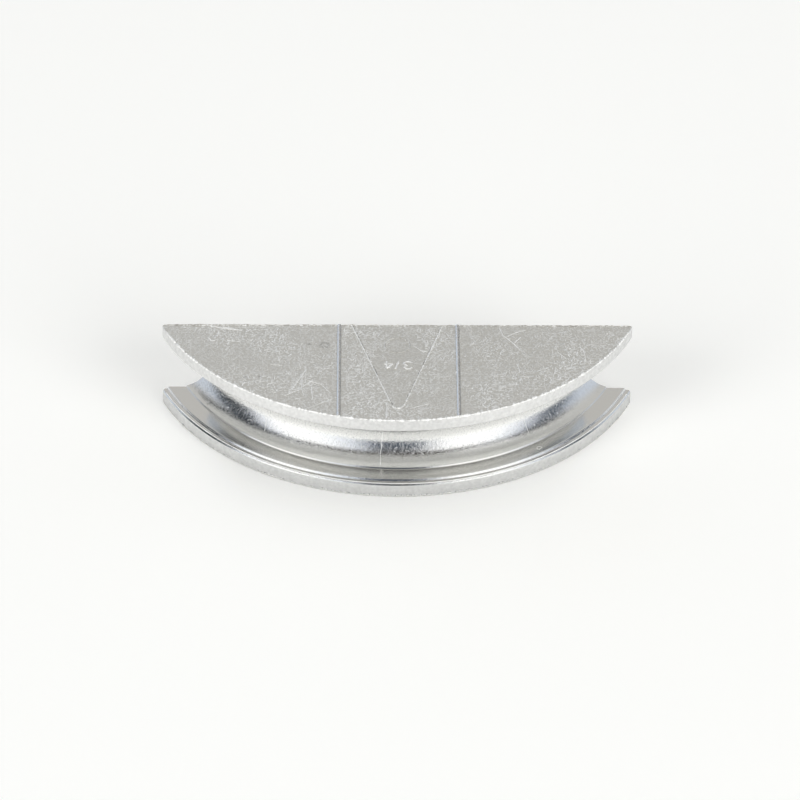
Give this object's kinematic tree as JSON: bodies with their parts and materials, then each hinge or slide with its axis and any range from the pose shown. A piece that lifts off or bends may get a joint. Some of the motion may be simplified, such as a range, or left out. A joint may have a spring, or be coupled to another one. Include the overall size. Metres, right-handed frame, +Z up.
{
  "type": "tube bender shoe",
  "caption": "Half-moon aluminium shoe for a hand tube bender: flat back with a blind round socket, curved front with a half-round groove between two rims.",
  "frame": {"origin": "under the middle of the shoe: centre of its bounding box at the resting face", "axes": "+X along the flat back, +Y out of the flat back, so that the groove faces -Y, +Z up from the resting face and along the bend axis"},
  "size_m": [0.151, 0.0522, 0.0305],
  "materials": {
    "cast_aluminium": "die-cast satin faces with handling scratches, matt rims, polished tube groove"
  },
  "bodies": {
    "root": {"bender_shoe": "cast_aluminium"}
  },
  "joints": []
}
